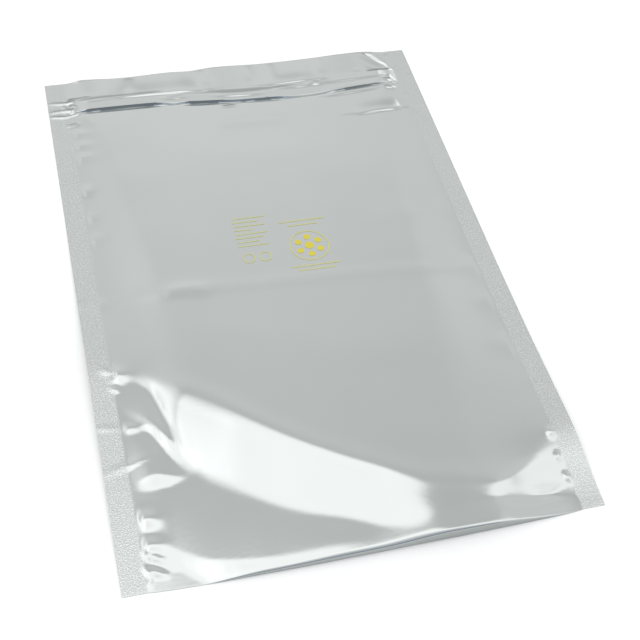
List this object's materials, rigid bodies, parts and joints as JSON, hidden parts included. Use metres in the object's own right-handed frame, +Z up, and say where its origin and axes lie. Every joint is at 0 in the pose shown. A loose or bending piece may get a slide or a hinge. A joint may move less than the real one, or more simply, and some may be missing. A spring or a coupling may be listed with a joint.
{
  "type": "zip-top anti-static bag",
  "caption": "Flat static-shielding film pouch, folded at the bottom, heat-sealed at both sides, with a closed press-to-close zip below its open lips.",
  "frame": {"origin": "centre of the bag's outline, on the surface that it lies on", "axes": "+Y towards the zip and the open mouth, +X across the bag, +Z up from the surface"},
  "size_m": [0.203, 0.3066, 0.0084],
  "materials": {
    "shielding_film": "thin metallised laminate, half-mirror silver grey",
    "zip_plastic": "milky extruded polyethylene"
  },
  "bodies": {
    "root": {"film_pouch": "shielding_film", "zip_groove_strip": "zip_plastic", "zip_rib_strip": "zip_plastic"}
  },
  "joints": []
}
